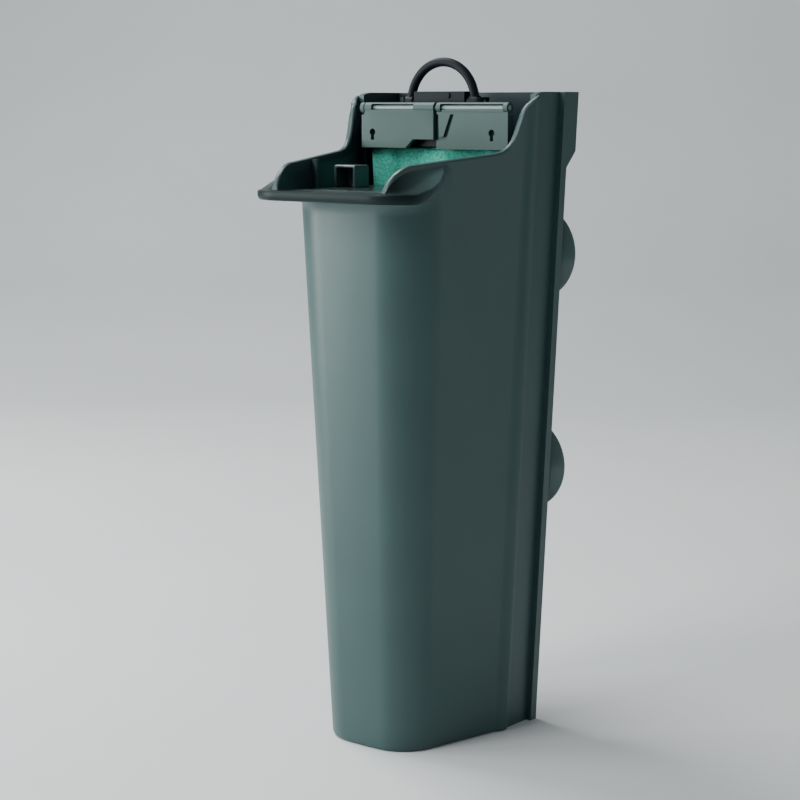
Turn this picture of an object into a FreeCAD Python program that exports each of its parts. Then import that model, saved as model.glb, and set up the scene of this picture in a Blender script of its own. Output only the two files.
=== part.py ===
import FreeCAD
import Part
import math

# Internal power filter for a small aquarium, modelled as an assembly.
# Units are millimetres. +Z is up, the pouring lip faces -Y, the wall of the tank is on the +Y side.
# The housing is symmetric about X = 0 and stands on Z = 0. Many sizes are given as a depth:
# the distance forward of the housing's rear face, which lies at y = BACK_Y.

V = FreeCAD.Vector

CUT_HALF = 60.0            # a cutting shape reaches this far each side of the middle
PAST = 1.0                 # and runs at least this far past what it cuts

# ---- housing ----
HEIGHT = 200.0
BACK_Y = 33.5
SKIN = 2.0
FLOOR = 2.2
FLANGE_TOP = 36.6          # half-widths at the rim and at the base
FLANGE_BASE = 26.2
FLANGE_DEPTH = 3.0
WALL_TOP = 35.6
WALL_BASE = 25.4
TUB_STEP = 1.0             # the rear shell is this much narrower at the seam
SEAM = 15.5                # depth of the joint between the rear and front shells
SIDE_LEAN = math.radians(12.5)
FRONT_TOP = 63.5
FRONT_BASE = 55.5
CORNER_TOP = 17.0
CORNER_BASE = 12.0
BEAD_WIDTH = 3.0
BEAD_PROUD = 0.9
RIM_SHOULDER = [(11.2, 200.0), (17.6, 197.85), (21.2, 193.0)]    # (depth, z) along the side rim
RIM_HOLLOW = [(23.2, 187.5), (25.95, 183.75), (30.3, 182.0)]
RIM_NOSE = [(60.0, 179.2), (67.2, 177.0), (71.5, 171.0)]
SPACER_DEPTH = 4.5         # stand-off behind the rear face, along the top
SPACER_LOW = 177.0
SPACER_SLOPE = 5.0         # its underside runs down to the rear face over this height
DRY_FIT = 0.1              # gap around a piece that drops into the housing

# ---- pouring lip ----
DECK_Z = 171.0
DECK_THICK = 3.0
BRIM_FRONT = 75.0
BRIM_HALF = 31.5
BRIM_CORNER = 13.0
CHEEK_START = 46.0
CHEEK_END = 71.5
CHEEK_TALL = 15.0          # before the rim is cut
RIB_DEPTH = 48.4
RIB_WIDE = 1.2
RIB_TALL = 12.0
RIB_PROUD = 1.8
DECK_GAP = 0.15
LIP_LOW_CURVE = [(46.0, 178.0), (57.5, 173.2), (68.0, 168.0)]      # (depth, z) under the lip's sides
HOOD_X = -18.6
HOOD_DEPTH = 38.4
HOOD_HALF = 4.2
HOOD_BACK = 3.6            # behind and in front of the riser's centre
HOOD_FRONT = 3.3
HOOD_TALL = 6.8
HOOD_SKIN = 0.9
HOOD_ROUND = 0.6

# ---- suction cups ----
CUP_PLACES = [(-16.0, 82.0), (16.0, 82.0), (-19.0, 150.0), (19.0, 150.0)]     # (x, z)
CUP_RADIUS = 15.0
CUP_REACH = 8.0
CUP_NECK = 2.4
CUP_HEAD_R = 3.4
CUP_HEAD = (3.0, 2.1)      # depths of the head that snaps in behind the rear shell's skin
CUP_HUB_R = 4.6
CUP_HUB = (-0.1, -2.4)
CUP_OUTER_BULGE = (10.4, -4.2)       # (radius, depth) half way along the bell's outside
CUP_INNER_BULGE = (8.6, -5.4)
CUP_RIM_THICK = 0.6
CUP_RIM_WIDE = 1.4
CUP_CORE_R = 2.5
CUP_CORE_END = -4.2

# ---- partition and slots ----
PARTITION_DEPTH = 20.0
PARTITION_THICK = 1.4
SLOT_TALL = 3.0
SLOT_PITCH = 7.5
SLOT_NEAR = 2.0
SLOT_FAR = 18.0
REAR_SLOTS = [(28, 62), (100, 131)]    # heights between which the rear shell is slotted
PARTITION_SLOTS = (60, 160)

# ---- cartridge ----
CART_TOP = 183.0
CART_LOW = 58.0
CART_TOP_HALF = 28.2
CART_LOW_HALF = 22.4
CART_CORNER = 17.0
FLEECE = (3.3, 4.9)        # depths of each layer
CARBON = (5.2, 8.0)
PRONG = (8.25, 9.35)
FOAM = (9.6, 18.4)
HEADER_TALL = 4.5
HEADER_GAP = 0.3           # between the layers' top edge and the header
PRONG_PLACES = (-18, 0, 18)
PRONG_HALF = 1.5
PRONG_BAR_HALF = 19.5
PRONG_BAR = (14.0, 17.0)   # heights above the foot of the foam
CARBON_SHRINK = 2.0        # how much narrower each inner layer is than the foam
FLEECE_SHRINK = 0.6
CARBON_LIFT = 4.0          # how much higher each inner layer ends
FLEECE_LIFT = 2.0

# ---- clip at the top of the cartridge ----
PLATE_HALF = 28.6
PLATE_LOW = 182.6
PLATE_BACK = 18.8
PLATE_MID = 20.2
PLATE_FRONT = 21.6
ROD_Z = 195.2
ROD_DEPTH = 20.5
ROD_R = 0.75
BARREL_R = 1.7             # of the rolled top edge of each leaf
LEAF_GAP = (0.7, 1.7)      # between the hinged leaf on the left and the fixed one
LUG_WIDE = 1.4
RUNNING_GAP = 0.05
SHEET_NOTCH = (-10.5, 0.5)
SHEET_NOTCH_TALL = 3.4
RECESS_OUTLINE = [(0.7, 193.2), (8.3, 193.2), (5.4, 185.2), (0.7, 185.2)]       # (x, z) corners
TONGUE_OUTLINE = [(2.3, 193.4), (7.0, 193.4), (4.2, 186.4), (2.6, 186.2)]
RECESS_CUT = 0.9
PANEL_DROP = 0.6           # from the rod's axis down to the top of each leaf's flat part
WINDOW_HALF = 1.2
FIXED_WINDOW = (3.3, 27.0)
FLAP_WINDOW = (-24.0, -7.2)
FLAP_LEFT = -28.0
FLAP_PROUD = 0.4           # the leaf stands this far in front of the fixed one
FLAP_LIFT = 0.2
FLAP_BACK_GAP = 0.15
FLAP_NOTCH = (-10.4, -7.4, 2.7)      # where the finger notch's slope starts and ends, and its height
FLAP_SHOULDER = 1.6
KEY_R = 1.1                # the keyhole mark on each leaf: a round end above a short stem
KEY_STEM_HALF = 0.6
KEY_Z = 5.0
KEY_LOW = 2.6
KEY_RIGHT_IN = 6.0         # from the leaf's outer edge
KEY_LEFT_IN = 4.4

# ---- handle ----
BASE_HALF = 16.8
BASE_DEPTHS = (13.0, 18.3)
BASE_TOP = 200.2           # of the hump between the bail's legs
EAR_TOP = 198.4
HUMP_HALF = 9.8
GAP_FLOOR = 194.0          # of the two slots that the bail's eyes turn in
EAR_INNER = 14.0
PIVOT_DEPTH = 16.2
PIVOT_Z = 197.0
PIN_R = 1.0
BAIL_HALF = 12.4
BAIL_TOP = 209.2
BAIL_R = 1.4
EYE_R = 2.0
EYE_HALF = 1.4
BOSS_R = 0.8
BOSS_X = 3.5
BOSS_PROUD = 0.4

# ---- pump, on an axis along X ----
PUMP_DEPTH = 35.0
PUMP_Z = 26.0
VOLUTE = (-15.5, -7.5)
VOLUTE_R = 10.0
VOLUTE_BORE = 8.9
MOTOR = (-7.5, 14.5)
MOTOR_HALF = 12.0
MOTOR_Z = (13.0, 60.0)
CASE_SKIN = 1.6
CASE_GAP = 0.05
YOKE_Z = (48.4, 54.4)       # height of the bar that joins the core's two legs
WELL_R = 6.4
WELL_SKIN = 1.0
WELL_END = 9.6
SPIGOT_X = -11.2
SPIGOT_DEPTH = 37.0
SPIGOT_TOP = 44.0
TUBE_R = 3.3
TUBE_BORE = 2.4
SHAFT_R = 1.5
MAGNET_R = 6.0
MAGNET_END = 7.4
WHEEL_R = 7.7
WHEEL_DISC = (-10.8, -9.8)
HUB_R = 3.4
HUB_BACK = -7.1
VANE_COUNT = 6
VANE_HALF = 0.5
VANE_START = 2.0
VANE_CLEAR = 0.3
VANE_X = (-14.5, -10.5)
STACK = (-3.4, 8.0)        # the core's laminations
LEG_LOW = 18.0
LEG_GAP = 0.2
LEG_CLEAR = 0.3
COIL_X = (-3.6, 8.2)       # the hole through the bobbin
BOBBIN_TUBE = (0.8, 0.8)   # how far each part stands out around that hole, along X and Z
BOBBIN_FLANGE = (2.0, 3.2)
WINDING_IN = (0.85, 0.85)
WINDING_OUT = (1.8, 2.9)
BOBBIN_HALF = 7.2
TUBE_HALF = 6.4
WINDING_HALF = 6.3
CAP_INSET = (2.6, 0.2)     # the potting lies this far inside the case's open end
COVER_THICK = 2.5
INLET_COUNT = 6
INLET_R = 1.6
INLET_RING = 5.6
BUSH_SEAT_R = 3.0
BUSH_SEAT = 1.6
BUSH_R = 2.95
BUSH_LONG = 1.55
INNER_BUSH_R = 6.3
INNER_BUSH_LONG = 1.7
SEAL_GROOVE = (9.4, 8.0, 0.8)        # outer radius, inner radius, depth
SEAL = (9.3, 8.1, 0.7)
GLAND_X = 4.0
GLAND_R = (4.2, 2.8)
GLAND_TALL = 8.0
GLAND_BORE = 1.5
GLAND_FLOOR = 2.0
FOOT_X = (-4, 12)
FOOT_SPREAD = 9.0
FOOT_R = 3.0


def at(x, depth, z):
    """A point from its X, its depth forward of the rear face, and its height."""
    return V(x, BACK_Y - depth, z)


def block(x_pair, depth_pair, z_pair):
    x0, x1 = x_pair
    d0, d1 = depth_pair
    z0, z1 = z_pair
    return Part.makeBox(x1 - x0, d1 - d0, z1 - z0, V(x0, BACK_Y - d1, z0))


def polygon(points):
    return Part.makePolygon(points + [points[0]])


def rod_x(radius, x0, x1, depth, z):
    return Part.makeCylinder(radius, x1 - x0, at(x0, depth, z), V(1, 0, 0))


def ring_x(outer, inner, x0, x1, depth=PUMP_DEPTH, z=PUMP_Z):
    return rod_x(outer, x0, x1, depth, z).cut(rod_x(inner, x0 - 1, x1 + 1, depth, z))


def grown(base, top, z):
    """A size that changes in a straight line from the base to the rim."""
    return base + (top - base) * z / HEIGHT


def front_outline(z, inset=0.0, seam=SEAM):
    """Section of the front shell: two leaning sides, two round corners and a flat front."""
    lean = SIDE_LEAN
    half = grown(WALL_BASE, WALL_TOP, z) - inset / math.cos(lean) + (SEAM - seam) * math.tan(lean)
    front = grown(FRONT_BASE, FRONT_TOP, z) - inset
    radius = grown(CORNER_BASE, CORNER_TOP, z) - inset
    centre_depth = front - radius
    centre_x = half - (radius + (centre_depth - seam) * math.sin(lean)) / math.cos(lean)

    def corner(side, angle):
        return at(side * (centre_x + radius * math.cos(angle)), centre_depth + radius * math.sin(angle), z)

    middle = (lean + math.pi / 2) / 2
    edges = [
        Part.LineSegment(at(half, seam, z), corner(1, lean)),
        Part.Arc(corner(1, lean), corner(1, middle), corner(1, math.pi / 2)),
        Part.LineSegment(corner(1, math.pi / 2), corner(-1, math.pi / 2)),
        Part.Arc(corner(-1, math.pi / 2), corner(-1, middle), corner(-1, lean)),
        Part.LineSegment(corner(-1, lean), at(-half, seam, z)),
        Part.LineSegment(at(-half, seam, z), at(half, seam, z)),
    ]
    return Part.Wire([edge.toShape() for edge in edges])


def front_loft(z0, z1, inset=0.0, seam=SEAM):
    return Part.makeLoft([front_outline(z0, inset, seam), front_outline(z1, inset, seam)], True, True)


def side_loft(base_half, top_half, depth_pair, z0, z1):
    """A straight-sided block whose half-width grows with height."""
    wires = []
    for z in (z0, z1):
        half = grown(base_half, top_half, z)
        d0, d1 = depth_pair
        wires.append(polygon([at(-half, d0, z), at(half, d0, z), at(half, d1, z), at(-half, d1, z)]))
    return Part.makeLoft(wires, True, True)


def above_rim():
    """Everything above the side rim, to be cut away from the shells."""
    ceiling = HEIGHT + 30 * PAST
    rear = -SPACER_DEPTH - 5 * PAST
    edges = []
    here = at(-CUT_HALF, rear, HEIGHT)
    for bend in (RIM_SHOULDER, RIM_HOLLOW, RIM_NOSE):
        start, middle, end = [at(-CUT_HALF, depth, z) for depth, z in bend]
        edges.append(Part.LineSegment(here, start))
        edges.append(Part.Arc(start, middle, end))
        here = end
    front = RIM_NOSE[-1][0] + 30 * PAST
    for depth, z in ((front, DECK_Z), (front, ceiling), (rear, ceiling), (rear, HEIGHT)):
        corner = at(-CUT_HALF, depth, z)
        edges.append(Part.LineSegment(here, corner))
        here = corner
    return Part.Face(Part.Wire([edge.toShape() for edge in edges])).extrude(V(2 * CUT_HALF, 0, 0))


def wall_half(depth, z):
    return grown(WALL_BASE, WALL_TOP, z) - (depth - SEAM) * math.tan(SIDE_LEAN)


def cheeks():
    """The side walls carried straight on over the lip, with a small upright rib inside each."""
    solids = []
    lean_skin = SKIN / math.cos(SIDE_LEAN)
    for side in (-1, 1):
        plan = []
        rear = CHEEK_START - PAST
        for depth, inward in ((rear, 0), (CHEEK_END, 0), (CHEEK_END, lean_skin), (rear, lean_skin)):
            half = wall_half(depth, DECK_Z) - inward
            plan.append(at(side * half, depth, DECK_Z - DECK_THICK))
        solids.append(Part.Face(polygon(plan)).extrude(V(0, 0, CHEEK_TALL)))
        inner = wall_half(RIB_DEPTH, DECK_Z) - lean_skin
        rib_x = sorted((side * (inner - RIB_PROUD), side * (inner + SKIN / 4)))
        solids.append(block(rib_x, (RIB_DEPTH, RIB_DEPTH + RIB_WIDE), (DECK_Z, DECK_Z + RIB_TALL)))
    return solids


def between_cheeks(inward, z0, z1):
    """The room between the cheeks' planes, each moved inward by the given distance along X."""
    rear = CHEEK_START - 6 * PAST
    front = BRIM_FRONT + 6 * PAST
    near = wall_half(rear, DECK_Z) - inward
    far = wall_half(front, DECK_Z) - inward
    plan = [at(-near, rear, z0), at(near, rear, z0), at(far, front, z0), at(-far, front, z0)]
    return Part.Face(polygon(plan)).extrude(V(0, 0, z1 - z0))


def lip_profile():
    """Side view of the lip: level in front, then curving up until it runs into the cheek."""
    low = [at(-CUT_HALF, depth, z) for depth, z in LIP_LOW_CURVE]
    high = [point + V(0, 0, DECK_THICK) for point in low]
    front_low = at(-CUT_HALF, BRIM_FRONT + PAST, LIP_LOW_CURVE[-1][1])
    front_high = front_low + V(0, 0, DECK_THICK)
    edges = [
        Part.Arc(low[0], low[1], low[2]),
        Part.LineSegment(low[2], front_low),
        Part.LineSegment(front_low, front_high),
        Part.LineSegment(front_high, high[2]),
        Part.Arc(high[2], high[1], high[0]),
        Part.LineSegment(high[0], low[0]),
    ]
    return Part.Face(Part.Wire([edge.toShape() for edge in edges])).extrude(V(2 * CUT_HALF, 0, 0))


def brim():
    """The lip that stands out in front of and beside the housing."""
    z = DECK_Z - DECK_THICK
    low_half = wall_half(CHEEK_START, z) - SKIN / 4
    arc_x = BRIM_HALF - BRIM_CORNER
    arc_depth = BRIM_FRONT - BRIM_CORNER
    slant = BRIM_CORNER * math.sin(math.pi / 4)

    def half(side):
        return [at(side * low_half, CHEEK_START, z), at(side * BRIM_HALF, arc_depth, z),
                at(side * (arc_x + slant), arc_depth + slant, z), at(side * arc_x, BRIM_FRONT, z)]

    right = half(1)
    left = half(-1)
    edges = [
        Part.LineSegment(right[0], right[1]),
        Part.Arc(right[1], right[2], right[3]),
        Part.LineSegment(right[3], left[3]),
        Part.Arc(left[3], left[2], left[1]),
        Part.LineSegment(left[1], left[0]),
        Part.LineSegment(left[0], right[0]),
    ]
    outline = Part.Face(Part.Wire([edge.toShape() for edge in edges])).extrude(V(0, 0, CHEEK_TALL + PAST))
    raised = outline.common(lip_profile()).cut(between_cheeks(SKIN / math.cos(SIDE_LEAN), DECK_Z, HEIGHT))
    ledge = outline.common(between_cheeks(0, z, DECK_Z))
    return raised.fuse(ledge).cut(front_loft(z - 5 * PAST, HEIGHT, SKIN))


def front_shell():
    outer = front_loft(0, HEIGHT)
    inner = front_loft(FLOOR, HEIGHT + PAST, SKIN, SEAM - PAST)
    shell = outer.cut(inner)
    lip_room = (DECK_Z - DECK_THICK, HEIGHT + PAST)
    shell = shell.cut(block((-CUT_HALF, CUT_HALF), (CHEEK_START, CHEEK_START + CUT_HALF), lip_room))
    for side in (-1, 1):
        wires = []
        for z in (0, HEIGHT):
            half = grown(WALL_BASE, WALL_TOP, z)
            xs = (side * (half - SKIN / 2), side * (half + BEAD_PROUD))
            wires.append(polygon([at(xs[0], SEAM, z), at(xs[1], SEAM, z),
                                  at(xs[1], SEAM + BEAD_WIDTH, z), at(xs[0], SEAM + BEAD_WIDTH, z)]))
        shell = shell.fuse(Part.makeLoft(wires, True, True))
    shell = shell.fuse([brim()] + cheeks())
    return shell.cut(above_rim()).removeSplitter()


def slots(depth_pair, z_low, z_high):
    """Two columns of level slots, one each side of the middle."""
    cutters = []
    rows = int((z_high - z_low) / SLOT_PITCH)
    for row in range(rows):
        z = z_low + row * SLOT_PITCH
        for x_pair in ((-SLOT_FAR, -SLOT_NEAR), (SLOT_NEAR, SLOT_FAR)):
            cutters.append(block(x_pair, depth_pair, (z, z + SLOT_TALL)))
    return Part.makeCompound(cutters)


def rear_shell():
    flange = side_loft(FLANGE_BASE, FLANGE_TOP, (0, FLANGE_DEPTH), 0, HEIGHT)
    tub = side_loft(WALL_BASE - TUB_STEP, WALL_TOP - TUB_STEP, (FLANGE_DEPTH, SEAM), 0, HEIGHT)
    inset = TUB_STEP + SKIN
    room = side_loft(WALL_BASE - inset, WALL_TOP - inset, (SKIN, SEAM + PAST), FLOOR, HEIGHT + PAST)
    spacer = side_loft(FLANGE_BASE, FLANGE_TOP, (-SPACER_DEPTH, 0), SPACER_LOW, HEIGHT)
    slope = [at(-CUT_HALF, -SPACER_DEPTH, SPACER_LOW), at(-CUT_HALF, 0, SPACER_LOW),
             at(-CUT_HALF, -SPACER_DEPTH, SPACER_LOW + SPACER_SLOPE)]
    spacer = spacer.cut(Part.Face(polygon(slope)).extrude(V(2 * CUT_HALF, 0, 0)))
    pocket = side_loft(WALL_BASE - inset, WALL_TOP - inset, (SKIN - SPACER_DEPTH, SKIN + PAST),
                       SPACER_LOW + SPACER_SLOPE + SKIN, HEIGHT + PAST)
    shell = flange.fuse([tub, spacer]).cut(room).cut(pocket)
    for z_low, z_high in REAR_SLOTS:
        shell = shell.cut(slots((-PAST, SKIN + PAST), z_low, z_high))
    for x, z in CUP_PLACES:
        start = at(x, SKIN + PAST, z)
        shell = shell.cut(Part.makeCylinder(CUP_NECK + DRY_FIT, SKIN + 2 * PAST, start, V(0, 1, 0)))
    return shell.cut(above_rim()).removeSplitter()


def spout_deck():
    z = DECK_Z - DECK_THICK
    plate = Part.Face(front_outline(z, SKIN + DECK_GAP, PARTITION_DEPTH)).extrude(V(0, 0, DECK_THICK))
    hole = Part.makeCylinder(TUBE_R + 3 * DRY_FIT, DECK_THICK + 4 * PAST, at(HOOD_X, HOOD_DEPTH, z - 2 * PAST))
    return plate.cut(hole)


def outlet_hood():
    x_pair = (HOOD_X - HOOD_HALF, HOOD_X + HOOD_HALF)
    back = HOOD_DEPTH - HOOD_BACK
    front = HOOD_DEPTH + HOOD_FRONT
    body = block(x_pair, (back, front), (DECK_Z, DECK_Z + HOOD_TALL))
    top_edges = [edge for edge in body.Edges if edge.BoundBox.ZMin > DECK_Z + PAST]
    body = body.makeFillet(HOOD_ROUND, top_edges)
    inner_x = (x_pair[0] + HOOD_SKIN, x_pair[1] - HOOD_SKIN)
    room = block(inner_x, (back + HOOD_SKIN, front + PAST), (DECK_Z - PAST, DECK_Z + HOOD_TALL - HOOD_SKIN))
    return body.cut(room)


def riser_tube():
    """A slanting tube from the pump's spigot to the hood, trimmed level at both ends."""
    start = at(SPIGOT_X, SPIGOT_DEPTH, SPIGOT_TOP - 4 * PAST)
    end = at(HOOD_X, HOOD_DEPTH, DECK_Z + 4 * PAST)
    run = end - start
    tube = Part.makeCylinder(TUBE_R, run.Length, start, run)
    bore = Part.makeCylinder(TUBE_BORE, run.Length, start, run)
    keep = block((-CUT_HALF, CUT_HALF), (0, CUT_HALF), (SPIGOT_TOP + CASE_GAP, DECK_Z))
    return tube.cut(bore).common(keep)


def partition():
    near = PARTITION_DEPTH
    inset = (near + PARTITION_THICK - SEAM) * math.tan(SIDE_LEAN) + SKIN / math.cos(SIDE_LEAN) + 2 * DRY_FIT
    plate = side_loft(WALL_BASE - inset, WALL_TOP - inset, (near, near + PARTITION_THICK),
                      FLOOR + DRY_FIT, DECK_Z - DECK_THICK - DRY_FIT)
    return plate.cut(slots((near - PAST, near + PARTITION_THICK + PAST), *PARTITION_SLOTS))


def suction_cup(x, z):
    """A bell turned about its own axis, with the neck and head that hold it in the rear shell."""
    def p(radius, depth):
        return at(x + radius, depth, z)

    rim = -CUP_REACH
    head_end, head_start = CUP_HEAD
    hub_start, hub_end = CUP_HUB
    profile = [
        (0, head_end), (CUP_HEAD_R, head_end), (CUP_HEAD_R, head_start), (CUP_NECK, head_start),
        (CUP_NECK, hub_start), (CUP_HUB_R, hub_start), (CUP_HUB_R, hub_end),
    ]
    bell = p(CUP_RADIUS, rim + CUP_RIM_THICK)
    rim_inside = p(CUP_RADIUS - CUP_RIM_WIDE, rim)
    core = p(CUP_CORE_R, CUP_CORE_END)
    edges = [Part.LineSegment(p(*start), p(*end)) for start, end in zip(profile, profile[1:])]
    edges += [
        Part.Arc(p(*profile[-1]), p(*CUP_OUTER_BULGE), bell),
        Part.LineSegment(bell, p(CUP_RADIUS, rim)),
        Part.LineSegment(p(CUP_RADIUS, rim), rim_inside),
        Part.Arc(rim_inside, p(*CUP_INNER_BULGE), core),
        Part.LineSegment(core, p(0, CUP_CORE_END)),
        Part.LineSegment(p(0, CUP_CORE_END), p(0, head_end)),
    ]
    face = Part.Face(Part.Wire([edge.toShape() for edge in edges]))
    return face.revolve(at(x, 0, z), V(0, 1, 0), 360)


def pad(depth_pair, low, high, shrink=0.0):
    """A filter layer: wide at the top, narrower and round-cornered at the bottom."""
    top_half = CART_TOP_HALF - shrink
    low_half = CART_LOW_HALF - shrink
    radius = CART_CORNER - shrink
    depth = depth_pair[1]
    slant = radius * (1 - math.sin(math.pi / 4))

    def side_points(side):
        return [at(side * top_half, depth, high), at(side * low_half, depth, low + radius),
                at(side * (low_half - slant), depth, low + slant), at(side * (low_half - radius), depth, low)]

    right = side_points(1)
    left = side_points(-1)
    edges = [
        Part.LineSegment(left[0], right[0]),
        Part.LineSegment(right[0], right[1]),
        Part.Arc(right[1], right[2], right[3]),
        Part.LineSegment(right[3], left[3]),
        Part.Arc(left[3], left[2], left[1]),
        Part.LineSegment(left[1], left[0]),
    ]
    face = Part.Face(Part.Wire([edge.toShape() for edge in edges]))
    return face.extrude(V(0, depth_pair[1] - depth_pair[0], 0))


def cartridge_frame():
    """The header bar across the top, with three prongs joined by a bar, between foam and carbon."""
    low = CART_TOP + HEADER_GAP
    header = block((-CART_TOP_HALF, CART_TOP_HALF), (FLEECE[0], PLATE_BACK), (low, low + HEADER_TALL))
    bar_z = (CART_LOW + PRONG_BAR[0], CART_LOW + PRONG_BAR[1])
    bar = block((-PRONG_BAR_HALF, PRONG_BAR_HALF), PRONG, bar_z)
    prongs = []
    for x in PRONG_PLACES:
        prongs.append(block((x - PRONG_HALF, x + PRONG_HALF), PRONG, (bar_z[1] - PAST, low + PAST)))
    return header.fuse(prongs + [bar]).removeSplitter()


def keyhole(x):
    """A cutter for the keyhole mark, from in front of the leaves back to the sheet."""
    front = PLATE_FRONT + 2 * PAST
    hole = Part.makeCylinder(KEY_R, front - PLATE_MID, at(x, front, PLATE_LOW + KEY_Z), V(0, 1, 0))
    stem_z = (PLATE_LOW + KEY_LOW, PLATE_LOW + KEY_Z)
    stem = block((x - KEY_STEM_HALF, x + KEY_STEM_HALF), (PLATE_MID, front), stem_z)
    return hole.fuse(stem)


def rod_way(gap=0.0):
    """A cutter for the rod's bore."""
    return rod_x(ROD_R + gap, -PLATE_HALF - PAST, PLATE_HALF + PAST, ROD_DEPTH, ROD_Z)


def barrel(x0, x1, window):
    """The rolled top edge of a leaf, with a window that shows the rod."""
    tube = rod_x(BARREL_R, x0, x1, ROD_DEPTH, ROD_Z)
    window_z = (ROD_Z - WINDOW_HALF, ROD_Z + WINDOW_HALF)
    return tube.cut(block(window, (ROD_DEPTH - PAST, ROD_DEPTH + BARREL_R + PAST), window_z))


def raised_outline(points, depth, thick):
    """A flat piece on the front of the clip, from the (x, z) corners of its outline."""
    return Part.Face(polygon([at(x, depth, z) for x, z in points])).extrude(V(0, thick, 0))


def clip_plate():
    """The fixed leaf: a full-width back sheet, the raised right half and its rolled top edge."""
    start = LEAF_GAP[1]
    back = (PLATE_BACK, PLATE_MID)
    lug_x = (-PLATE_HALF, -PLATE_HALF + LUG_WIDE)
    sheet = block((-PLATE_HALF, PLATE_HALF), back, (PLATE_LOW, ROD_Z - BARREL_R - FLAP_PROUD))
    notch_z = (PLATE_LOW - PAST, PLATE_LOW + SHEET_NOTCH_TALL)
    sheet = sheet.cut(block(SHEET_NOTCH, (PLATE_BACK - PAST, PLATE_MID + PAST), notch_z))
    panel = block((start, PLATE_HALF), (PLATE_MID, PLATE_FRONT), (PLATE_LOW, ROD_Z - PANEL_DROP))
    recess = raised_outline(RECESS_OUTLINE, PLATE_FRONT + PAST, RECESS_CUT + PAST)
    tongue = raised_outline(TONGUE_OUTLINE, PLATE_FRONT + PAST, RECESS_CUT + 2 * PAST)
    panel = panel.cut(recess.cut(tongue)).cut(keyhole(PLATE_HALF - KEY_RIGHT_IN))
    lug = rod_x(BARREL_R, lug_x[0], lug_x[1], ROD_DEPTH, ROD_Z)
    strut = block(lug_x, back, (ROD_Z - 2 * BARREL_R, ROD_Z))
    plate = sheet.fuse([panel, barrel(start, PLATE_HALF, FIXED_WINDOW), lug, strut])
    return plate.cut(rod_way()).removeSplitter()


def clip_rod():
    return rod_x(ROD_R, -PLATE_HALF, PLATE_HALF, ROD_DEPTH, ROD_Z)


def clip_flap():
    """The hinged left leaf, rolled over the rod, with a finger notch in its lower corner."""
    shoulder = -PLATE_HALF + LUG_WIDE + FLAP_PROUD
    right = LEAF_GAP[0]
    front = PLATE_FRONT + FLAP_PROUD
    low = PLATE_LOW + FLAP_LIFT
    top = ROD_Z - PANEL_DROP
    notch_start, notch_end, notch_tall = FLAP_NOTCH
    outline = [(FLAP_LEFT, low), (notch_start, low), (notch_end, low + notch_tall), (right, low + notch_tall),
               (right, top), (shoulder, top), (shoulder, top - FLAP_SHOULDER), (FLAP_LEFT, top - FLAP_SHOULDER)]
    panel = raised_outline(outline, front, front - PLATE_MID - FLAP_BACK_GAP)
    panel = panel.cut(keyhole(FLAP_LEFT + KEY_LEFT_IN))
    flap = panel.fuse(barrel(shoulder, right, FLAP_WINDOW))
    return flap.cut(rod_way(RUNNING_GAP)).removeSplitter()


def handle_base():
    """A round-ended bar with a hump in the middle and an ear at each end, for the bail's pins."""
    d0, d1 = BASE_DEPTHS
    radius = (d1 - d0) / 2
    z0 = CART_TOP + HEADER_GAP + HEADER_TALL
    body = block((-BASE_HALF + radius, BASE_HALF - radius), BASE_DEPTHS, (z0, BASE_TOP))
    for side in (-1, 1):
        end = Part.makeCylinder(radius, BASE_TOP - z0, at(side * (BASE_HALF - radius), d0 + radius, z0))
        body = body.fuse(end)
    for side in (-1, 1):
        slot = sorted((side * HUMP_HALF, side * EAR_INNER))
        body = body.cut(block(slot, (d0 - PAST, d1 + PAST), (GAP_FLOOR, BASE_TOP + PAST)))
        ear = sorted((side * EAR_INNER, side * (BASE_HALF + PAST)))
        body = body.cut(block(ear, (d0 - PAST, d1 + PAST), (EAR_TOP, BASE_TOP + PAST)))
    boss_z = (EAR_TOP + BASE_TOP) / 2 - BOSS_PROUD
    boss = Part.makeCylinder(BOSS_R, BOSS_PROUD + PAST, at(BOSS_X, d1 + BOSS_PROUD, boss_z), V(0, 1, 0))
    return body.fuse(boss).cut(rod_x(PIN_R, -CUT_HALF, CUT_HALF, PIVOT_DEPTH, PIVOT_Z)).removeSplitter()


def handle_pins():
    """Two short pins held in the ears of the base."""
    inner = HUMP_HALF - PIN_R
    outer = BASE_HALF - BOSS_R
    pins = [rod_x(PIN_R, inner, outer, PIVOT_DEPTH, PIVOT_Z), rod_x(PIN_R, -outer, -inner, PIVOT_DEPTH, PIVOT_Z)]
    return Part.makeCompound(pins)


def bail_handle():
    ends = [at(-BAIL_HALF, PIVOT_DEPTH, PIVOT_Z), at(BAIL_HALF, PIVOT_DEPTH, PIVOT_Z)]
    arc = Part.Arc(ends[0], at(0, PIVOT_DEPTH, BAIL_TOP), ends[1])
    spine = Part.Wire([arc.toShape()])
    start = Part.Wire([Part.makeCircle(BAIL_R, ends[0], arc.tangent(arc.FirstParameter)[0])])
    bail = spine.makePipeShell([start], True, True)
    for end in ends:
        bail = bail.fuse(rod_x(EYE_R, end.x - EYE_HALF, end.x + EYE_HALF, PIVOT_DEPTH, PIVOT_Z))
    return bail.cut(rod_x(PIN_R + RUNNING_GAP, -CUT_HALF, CUT_HALF, PIVOT_DEPTH, PIVOT_Z)).removeSplitter()


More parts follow.
